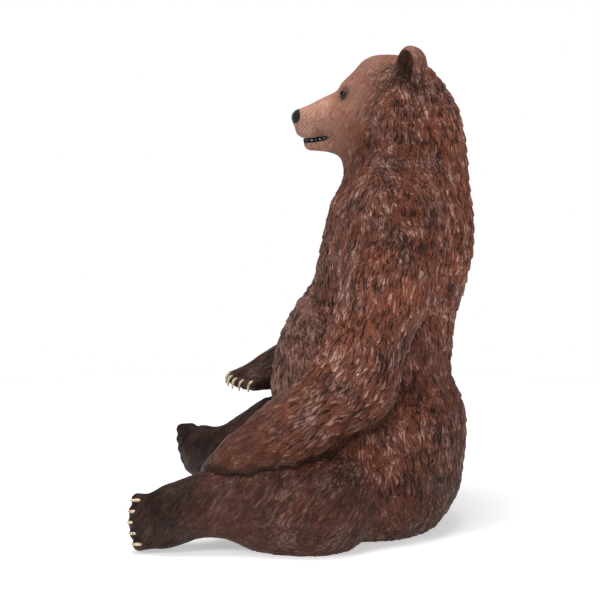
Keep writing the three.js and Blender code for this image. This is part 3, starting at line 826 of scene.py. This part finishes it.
# Small pieces over the fur's mesh: claws, eyes, teeth, nose and lips
def ring_mesh(rings):
    """Points and triangles of a closed skin over rings of points, with a point at each end."""
    sides = len(rings[0])
    points = [p for ring in rings for p in ring]
    first = len(points)
    points.append(sum((np.array(p) for p in rings[0]), np.zeros(3)) / sides)
    points.append(sum((np.array(p) for p in rings[-1]), np.zeros(3)) / sides)
    faces = []
    for c in range(sides):
        d = (c + 1) % sides
        for r in range(len(rings) - 1):
            a = r * sides
            b = a + sides
            faces += [(a + c, a + d, b + d), (a + c, b + d, b + c)]
        last = (len(rings) - 1) * sides
        faces += [(first, d, c), (last + c, last + d, first + 1)]
    return points, faces


def joined(meshes):
    points = []
    faces = []
    for some_points, some_faces in meshes:
        faces += [tuple(v + len(points) for v in face) for face in some_faces]
        points += [tuple(p) for p in some_points]
    return np.array(points), np.array(faces)


CLAW_RADIUS = 6.5 * MM
CLAW_RINGS = 12
CLAW_SIDES = 14
CLAW_END = 0.97  # where its skin closes, along its length
CLAW_TAPER = 0.28  # power by which it thins out: less is blunter
CLAW_NARROW = 0.85  # its width over its height
# Root, bend and tip of a claw, from its toe's tip: along the toe and out of the paw's back on a foot,
# each with what a hanging hand adds
CLAW_CURVE = (((-19, 9), (8, -3)), ((-3, 9), (17, -7)), ((2, 3), (2, -17)))


def claw(paw, i):
    """A curved claw over the end of toe i."""
    w, t = paw.tip(i)
    root, bend, tip = [
        np.array(paw.place(w, t + along[0] + along[1] * paw.hang, out[0] + out[1] * paw.hang))
        for along, out in CLAW_CURVE
    ]
    side = np.array(paw.across)
    rings = []
    for s in np.linspace(0, CLAW_END, CLAW_RINGS):
        centre = (1 - s) ** 2 * root + 2 * s * (1 - s) * bend + s * s * tip
        tangent = 2 * (1 - s) * (bend - root) + 2 * s * (tip - bend)
        over = np.cross(side, tangent)
        over /= np.linalg.norm(over)
        radius = CLAW_RADIUS * (1 - s) ** CLAW_TAPER
        turns = np.linspace(0, 2 * math.pi, CLAW_SIDES, endpoint=False)
        arc = [CLAW_NARROW * side * math.cos(a) + over * math.sin(a) for a in turns]
        rings.append([centre + radius * spoke for spoke in arc])
    return ring_mesh(rings)


BALL_RINGS = 17
BALL_SIDES = 24


def ball(centre, radius, stretch=(1, 1, 1)):
    rings = []
    for latitude in np.linspace(-0.499, 0.499, BALL_RINGS) * math.pi:
        ring = []
        for longitude in np.linspace(0, 2 * math.pi, BALL_SIDES, endpoint=False):
            x = math.cos(latitude) * math.cos(longitude)
            y = math.cos(latitude) * math.sin(longitude)
            spoke = np.array((x, y, math.sin(latitude)))
            ring.append(np.array(centre) + radius * spoke * np.array(stretch))
        rings.append(ring)
    return ring_mesh(rings)


def lip_side(y, z, depth):
    """The x, in mil, at which the smooth snout is depth deep."""
    xs = np.arange(0, 70, 0.25, dtype=np.float32)
    p = (xs, np.full_like(xs, y), np.full_like(xs, z))
    d = soft_min(torso(p), head(p), NECK_ROUND)
    return float(xs[np.argmax(d > -depth)])


TEETH = ((26, 3.4), (34, 2.2), (43, 3.0), (52, 3.4))  # each one's place along the mouth, and radius
TOOTH_DEPTH = 5.5  # of their middles, inside the lips
TOOTH_DROP = 0.5
TOOTH_SHAPE = (0.6, 0.9, 0.75)


def teeth():
    meshes = []
    for y, size in TEETH:
        line = float(mouth_line(y))
        x = lip_side(y, line, TOOTH_DEPTH)
        for s in SIDES:
            meshes.append(ball((s * x, y, line - TOOTH_DROP), size, TOOTH_SHAPE))
    return joined(meshes)


def detail(name, mesh, slot):
    points, faces = mesh
    piece = new_object(name, to_metres(points, shift), faces)
    shade_smooth(piece)
    return piece


DETAIL_STEP = 1.0  # mil between the lattice points of the nose and the lips
PAINT_PROUD = 0.5  # how far the skins of nose and lips stand out of the bear
PAINT_DEEP = 4.0  # and how far they reach into it
PAINT_ROUND = 0.6


def skin_of(p):
    """A layer over the smooth bear, a little proud of it."""
    d = smooth(p)
    return np.maximum(d - PAINT_PROUD, -PAINT_DEEP - d)


def nose_form(p):
    return soft_max(skin_of(p), ellipsoid(*NOSE_PAINT)(p), PAINT_ROUND)


def lip_form(p):
    half = LIP_HALF * ramp(MOUTH_BACK + 4, MOUTH_BACK - 18, p[1])
    beside = np.abs(p[2] - mouth_line(p[1])) - half
    return soft_max(skin_of(p), np.maximum(beside, p[1] - MOUTH_BACK + 1), PAINT_ROUND)


nose = detail("nose", trace(nose_form, (-40, -28, 826), (40, 24, 876), DETAIL_STEP), "nose_and_lips")
mouth_lips = detail("lips", trace(lip_form, (-66, -20, 790), (66, 76, 824), DETAIL_STEP), "nose_and_lips")
claws = detail("claws", joined([claw(paw, i) for paw in paws for i in TOES]), "claws")
eyes = detail("eyes", joined([ball((s * EYE[0], EYE[1], EYE[2]), EYE_RADIUS) for s in SIDES]), "eyes")
tooth_row = detail("teeth", teeth(), "teeth")


# Materials
class Nodes:
    """The nodes of a material or of the world, made in short calls."""

    def __init__(self, owner, shader="Principled BSDF"):
        owner.use_nodes = True
        self.owner = owner
        self.tree = owner.node_tree
        self.shader = self.tree.nodes[shader]

    def put(self, socket, value):
        if isinstance(value, bpy.types.NodeSocket):
            self.tree.links.new(value, socket)
        elif value is not None:
            socket.default_value = value

    def give(self, name, value):
        """To the shader's own socket of this name."""
        self.put(self.shader.inputs[name], value)

    def node(self, kind, inputs=(), **settings):
        node = self.tree.nodes.new(kind)
        for key, value in settings.items():
            setattr(node, key, value)
        for index, value in enumerate(inputs):
            self.put(node.inputs[index], value)
        return node

    def math(self, operation, *values):
        return self.node("ShaderNodeMath", values, operation=operation).outputs[0]

    def vector(self, operation, *values):
        node = self.node("ShaderNodeVectorMath", values, operation=operation)
        return node.outputs["Value" if operation in ("LENGTH", "DOT_PRODUCT") else 0]

    def attribute(self, name, output="Fac"):
        return self.node("ShaderNodeAttribute", attribute_name=name).outputs[output]

    def place(self):
        """The point of the piece in metres."""
        return self.node("ShaderNodeTexCoord").outputs["Object"]

    def scaled(self, vector, factors):
        return self.vector("MULTIPLY", vector, factors)

    def total(self, *terms):
        """The sum of values, each by its own factor."""
        products = [self.math("MULTIPLY", value, factor) for value, factor in terms]
        total = products[0]
        for product in products[1:]:
            total = self.math("ADD", total, product)
        return total

    def between(self, factor, a, b):
        return self.node("ShaderNodeMix", (factor, None, a, b)).outputs[0]

    def noise(self, vector, scale, detail=2.0, output=0):
        node = self.node("ShaderNodeTexNoise")
        self.put(node.inputs["Vector"], vector)
        self.put(node.inputs["Scale"], scale)
        self.put(node.inputs["Detail"], detail)
        return node.outputs[output]

    def spread(self, value, low, high, to_low=0.0, to_high=1.0):
        inputs = (value, low, high, to_low, to_high)
        return self.node("ShaderNodeMapRange", inputs, interpolation_type="SMOOTHSTEP").outputs[0]

    def colour(self, factor, a, b):
        node = self.node("ShaderNodeMix", data_type="RGBA")
        self.put(node.inputs[0], factor)
        self.put(node.inputs[6], a)
        self.put(node.inputs[7], b)
        return node.outputs[2]

    def ramp(self, factor, *stops):
        node = self.node("ShaderNodeValToRGB", (factor,))
        elements = node.color_ramp.elements
        while len(elements) < len(stops):
            elements.new(0.5)
        for element, (position, colour) in zip(elements, stops):
            element.position = position
            element.color = colour
        return node.outputs[0]

    def bump(self, height, distance):
        node = self.node("ShaderNodeBump")
        self.put(node.inputs["Distance"], distance)
        self.put(node.inputs["Height"], height)
        return node.outputs[0]


def linear(c):
    """A colour's channel as light, from 0 to 1, from one given as it is seen, 0 to 255."""
    return ((c / 255 + 0.055) / 1.055) ** 2.4 if c > 10 else c / 255 / 12.92


def rgb(r, g, b):
    return linear(r), linear(g), linear(b), 1.0


# Groove colour: dark paint with painted shade in the fur's hollows. Tip colour: light paint with painted
# highlights
GROOVE_PAINT_AND_SHADE = rgb(46, 27, 21)
COAT = rgb(115, 67, 52)
TIP_PAINT_AND_HIGHLIGHT = rgb(184, 142, 128)
RED = rgb(120, 64, 42)
GREY = rgb(92, 64, 57)
PAW_GROOVE = rgb(28, 16, 12)
PAW = rgb(62, 37, 28)
PAW_TIP = rgb(102, 70, 58)
FACE = rgb(146, 108, 92)
FACE_TIP = rgb(162, 122, 106)
FACE_GROOVE = rgb(126, 92, 78)
BELLY = rgb(122, 86, 72)
BLACK = rgb(14, 12, 12)

STRAND = 0.0038  # metres across a strand
WISP = 0.0085  # and across a wisp of strands
GATHER_SCALE = 24.0  # of the places where light strands and painted highlights gather, per metre
BEND_SCALE = 26.0  # of the strands' bends, per metre
BEND = (0.022, 0.022, 0.0)  # how far they go aside, in metres
# Nearly flat along the third fur coordinate, so that the noise is drawn out along the hair
STRAND_DRAWN = (1, 1, 0.08)
WISP_DRAWN = (1, 1, 0.18)
GATHER_DRAWN = (1, 1, 0.5)


def strand_height(n, attribute):
    """Hair strands and wisps along the hair, and where light strands and painted highlights gather."""
    q = n.attribute(attribute, "Vector")
    bend = n.noise(q, BEND_SCALE, 1.0, "Color")
    bend = n.vector("SUBTRACT", bend, (0.5, 0.5, 0.5))
    q = n.vector("ADD", q, n.scaled(bend, BEND))
    strand = n.noise(n.scaled(q, STRAND_DRAWN), 1 / STRAND, 1.0)
    wisp = n.noise(n.scaled(q, WISP_DRAWN), 1 / WISP, 1.5)
    gather = n.noise(n.scaled(q, GATHER_DRAWN), GATHER_SCALE, 1.5)
    return strand, wisp, gather


PATCH_SCALE = 11.0  # of the reddish and greyish patches, per metre
PATCH_STRENGTH = 0.6
SMOOTH_STRENGTH = 0.6  # how far the coat evens out where the fur is low
BELLY_STRENGTH = 0.7


def coat_colour(n, height, depth):
    """Dark paint and painted shade in the grooves, light paint and painted highlights at the tips, in
    reddish and greyish patches.
    """
    plain = n.ramp(height, (0.22, GROOVE_PAINT_AND_SHADE), (0.42, COAT), (0.58, COAT), (0.8, TIP_PAINT_AND_HIGHLIGHT))
    reddish = n.ramp(height, (0.22, GROOVE_PAINT_AND_SHADE), (0.42, RED), (0.62, RED), (0.85, TIP_PAINT_AND_HIGHLIGHT))
    greyish = n.ramp(height, (0.22, GROOVE_PAINT_AND_SHADE), (0.45, GREY), (0.85, TIP_PAINT_AND_HIGHLIGHT))
    patches = n.noise(n.place(), PATCH_SCALE, 3.0)
    paint = n.colour(n.spread(patches, 0.52, 0.64, 0.0, PATCH_STRENGTH), plain, reddish)
    paint = n.colour(n.spread(patches, 0.49, 0.4, 0.0, PATCH_STRENGTH), paint, greyish)
    even = n.colour(n.spread(patches, 0.42, 0.6), COAT, RED)
    paint = n.colour(n.spread(depth, 0.9, 0.1, 0.0, SMOOTH_STRENGTH), paint, even)
    belly = n.ramp(height, (0.2, GROOVE_PAINT_AND_SHADE), (0.45, BELLY), (0.85, TIP_PAINT_AND_HIGHLIGHT))
    return n.colour(n.math("MULTIPLY", n.attribute("belly"), BELLY_STRENGTH), paint, belly)


def in_place(spot):
    """A spot given in mil, in metres."""
    return tuple(to_metres([spot], shift)[0])


NOSE_EDGE = (1.06, 0.96)  # where the nose's black begins and is full, over its form's radii
SOCKET_EDGE = (24 * MIL, 7 * MIL)  # from the eye's front to where its shading begins and is full
SOCKET_SHADE = 0.75
RIM_EDGE = (8 * MIL, 6 * MIL)  # and to where its black rim does


def black_parts(n, paint):
    """The paint with black under the nose and lips and round the eyes and painted shade in the eyes'
    sockets, and how black it is.
    """
    place = n.place()
    centre, radii = NOSE_PAINT
    away = n.vector("SUBTRACT", place, in_place(centre))
    away = n.vector("LENGTH", n.vector("DIVIDE", away, tuple(r * MIL for r in radii)))
    black = n.math("MAXIMUM", n.spread(away, *NOSE_EDGE), n.attribute("lips"))
    for s in SIDES:
        front = in_place((s * (EYE[0] + 3), EYE[1] - 3, EYE[2]))
        eye = n.vector("LENGTH", n.vector("SUBTRACT", place, front))
        # Painted shade in the eye's socket
        socket = n.math("MULTIPLY", n.spread(eye, *SOCKET_EDGE), SOCKET_SHADE)
        paint = n.colour(socket, paint, GROOVE_PAINT_AND_SHADE)
        black = n.math("MAXIMUM", black, n.spread(eye, *RIM_EDGE))
    return n.colour(black, paint, BLACK), black


SPECULAR = 0.15
BLACK_ROUGHNESS = 0.22
FUR_BUMP = 0.009  # metres
LOW_FUR_BUMP = 0.12  # share of the bump that is left where there is no depth of fur


def fur_material():
    n = Nodes(bpy.data.materials.new("painted_fur"))
    other, depth, stand, pale = [n.attribute(name) for name in ("other", "depth", "stand", "pale")]
    pairs = zip(strand_height(n, "hair_a"), strand_height(n, "hair_b"))
    strand, wisp, gather = [n.between(other, a, b) for a, b in pairs]
    strand = n.spread(strand, 0.34, 0.66)
    wisp = n.spread(wisp, 0.32, 0.68)
    gather = n.spread(gather, 0.36, 0.66)
    # From groove to tip: dark paint and painted shade give way to light paint and painted highlights
    height = n.total((strand, 0.3), (wisp, 0.22), (stand, 0.3), (gather, 0.18))
    paint = coat_colour(n, height, depth)
    face_paint = n.ramp(strand, (0.1, FACE_GROOVE), (0.4, FACE), (0.6, FACE), (0.9, FACE_TIP))
    paint = n.colour(pale, paint, face_paint)
    paw_paint = n.ramp(height, (0.2, PAW_GROOVE), (0.5, PAW), (0.95, PAW_TIP))
    paint = n.colour(n.attribute("dark"), paint, paw_paint)
    paint = n.scaled(paint, n.attribute("shade"))
    paint, black = black_parts(n, paint)
    n.give("Base Color", paint)
    n.give("Specular IOR Level", SPECULAR)
    n.give("Roughness", n.between(black, n.spread(height, 0.2, 0.9, 0.6, 0.36), BLACK_ROUGHNESS))
    relief = n.total((strand, 0.45), (wisp, 0.55))
    soft = n.math("MULTIPLY_ADD", depth, 1 - LOW_FUR_BUMP, LOW_FUR_BUMP)
    soft = n.math("MULTIPLY", soft, n.spread(pale, 0.5, 1.0, 1.0, 0.4))
    relief = n.math("MULTIPLY", n.math("MULTIPLY", relief, soft), n.math("SUBTRACT", 1.0, black))
    n.give("Normal", n.bump(relief, FUR_BUMP))
    return n.owner


def plain_material(name, low, high, roughness, scale, bump):
    """Paint between two colours, mottled at the given scale, with a fine relief."""
    n = Nodes(bpy.data.materials.new(name))
    mottle = n.noise(n.place(), scale, 3.0)
    n.give("Base Color", n.ramp(mottle, (0.35, low), (0.65, high)))
    n.give("Roughness", n.spread(mottle, 0.3, 0.7, roughness * 0.8, roughness * 1.2))
    n.give("Normal", n.bump(mottle, bump))
    return n.owner


def wear(piece, material):
    piece.data.materials.clear()
    piece.data.materials.append(material)


claw_paint = plain_material(
    "claw_paint", rgb(150, 128, 98), rgb(222, 205, 172), roughness=0.35, scale=60.0, bump=0.0006
)
nose_gloss = plain_material(
    "nose_gloss", rgb(8, 8, 8), rgb(22, 20, 20), roughness=0.2, scale=260.0, bump=0.0012
)
eye_gloss = plain_material(
    "eye_gloss", rgb(10, 8, 7), rgb(30, 18, 12), roughness=0.08, scale=200.0, bump=0.0
)
tooth_paint = plain_material(
    "tooth_paint", rgb(206, 200, 184), rgb(238, 234, 224), roughness=0.3, scale=200.0, bump=0.0002
)
wear(bear, fur_material())
wear(claws, claw_paint)
wear(nose, nose_gloss)
wear(mouth_lips, nose_gloss)
wear(eyes, eye_gloss)
wear(tooth_row, tooth_paint)


# Floor, light and camera
FLOOR_RADIUS = 3.0
FLOOR_SIDES = 96
FLOOR_LOW = (0.86, 0.86, 0.86, 1)
FLOOR_HIGH = (0.88, 0.88, 0.88, 1)
FLOOR_ROUGHNESS = 0.8
FLOOR_GLOW = 0.4
WHITE = (1.0, 1.0, 1.0, 1.0)


def floor():
    mesh = bpy.data.meshes.new("floor")
    turns = np.linspace(0, 2 * math.pi, FLOOR_SIDES, endpoint=False)
    rim = [(FLOOR_RADIUS * math.cos(a), FLOOR_RADIUS * math.sin(a), 0) for a in turns]
    mesh.from_pydata(rim, [], [tuple(range(len(rim)))])
    plane = bpy.data.objects.new("floor", mesh)
    bpy.context.scene.collection.objects.link(plane)
    n = Nodes(bpy.data.materials.new("floor"))
    n.give("Base Color", n.ramp(n.noise(n.place(), 3.0), (0.3, FLOOR_LOW), (0.7, FLOOR_HIGH)))
    n.give("Roughness", FLOOR_ROUGHNESS)
    n.give("Emission Color", WHITE)
    n.give("Emission Strength", FLOOR_GLOW)
    wear(plane, n.owner)


LAMP_AIM = (0, 0, 0.8)
# Each lamp's name, place and width in metres, and power in watts
LAMPS = (
    ("overhead", (0.6, -0.3, 4.4), 3.0, 150),
    ("key", (4.0, -2.8, 2.9), 1.5, 105),
    ("fill", (3.2, 3.6, 2.4), 1.8, 70),
)


def area_light(name, place, size, power):
    light = bpy.data.lights.new(name, "AREA")
    light.shape = "DISK"
    light.size = size
    light.energy = power
    lamp = bpy.data.objects.new(name, light)
    lamp.location = place
    lamp.rotation_euler = (Vector(LAMP_AIM) - Vector(place)).to_track_quat("-Z", "Y").to_euler()
    bpy.context.scene.collection.objects.link(lamp)


CAMERA_TURN = 96.0  # degrees from the bear's front
CAMERA_RISE = 7.2
CAMERA_AWAY = 3783 * MIL
CAMERA_AIM = (0.0, 0.0, 470.0)
SENSOR_WIDTH = 36.0  # millimetres
FOCAL_RATIO = 1808 / 600  # focal length over the picture's width


def camera_direction():
    """From the bear toward the camera."""
    turn = math.radians(CAMERA_TURN)
    rise = math.radians(CAMERA_RISE)
    level = math.cos(rise)
    return Vector((math.sin(turn) * level, -math.cos(turn) * level, math.sin(rise)))


ROOM_LIGHT = 0.28  # the room's own glow, beside the white backdrop's 1
BACKDROP_EDGE = 0.86  # cosines of the angles from the backdrop's middle at which it begins
BACKDROP_FULL = 0.95  # and is quite white


def studio():
    """Lamps, and a room that glows faintly but for the white backdrop. The camera sees only white."""
    n = Nodes(bpy.data.worlds.new("studio"), "Background")
    bpy.context.scene.world = n.owner
    looking = n.node("ShaderNodeTexCoord").outputs["Generated"]
    toward = n.vector("DOT_PRODUCT", looking, -camera_direction())
    inputs = (toward, BACKDROP_EDGE, BACKDROP_FULL, ROOM_LIGHT, 1.0)
    backdrop = n.node("ShaderNodeMapRange", inputs).outputs[0]
    seen = n.node("ShaderNodeLightPath").outputs["Is Camera Ray"]
    n.give("Color", WHITE)
    n.give("Strength", n.math("MAXIMUM", backdrop, seen))
    for lamp in LAMPS:
        area_light(*lamp)
    bpy.context.scene.view_settings.view_transform = "Standard"


def camera():
    direction = camera_direction()
    data = bpy.data.cameras.new("camera")
    data.sensor_width = SENSOR_WIDTH
    data.lens = FOCAL_RATIO * SENSOR_WIDTH
    eye = bpy.data.objects.new("camera", data)
    eye.location = Vector(in_place(CAMERA_AIM)) + direction * CAMERA_AWAY
    eye.rotation_euler = (-direction).to_track_quat("-Z", "Y").to_euler()
    bpy.context.scene.collection.objects.link(eye)
    bpy.context.scene.camera = eye


floor()
studio()
camera()
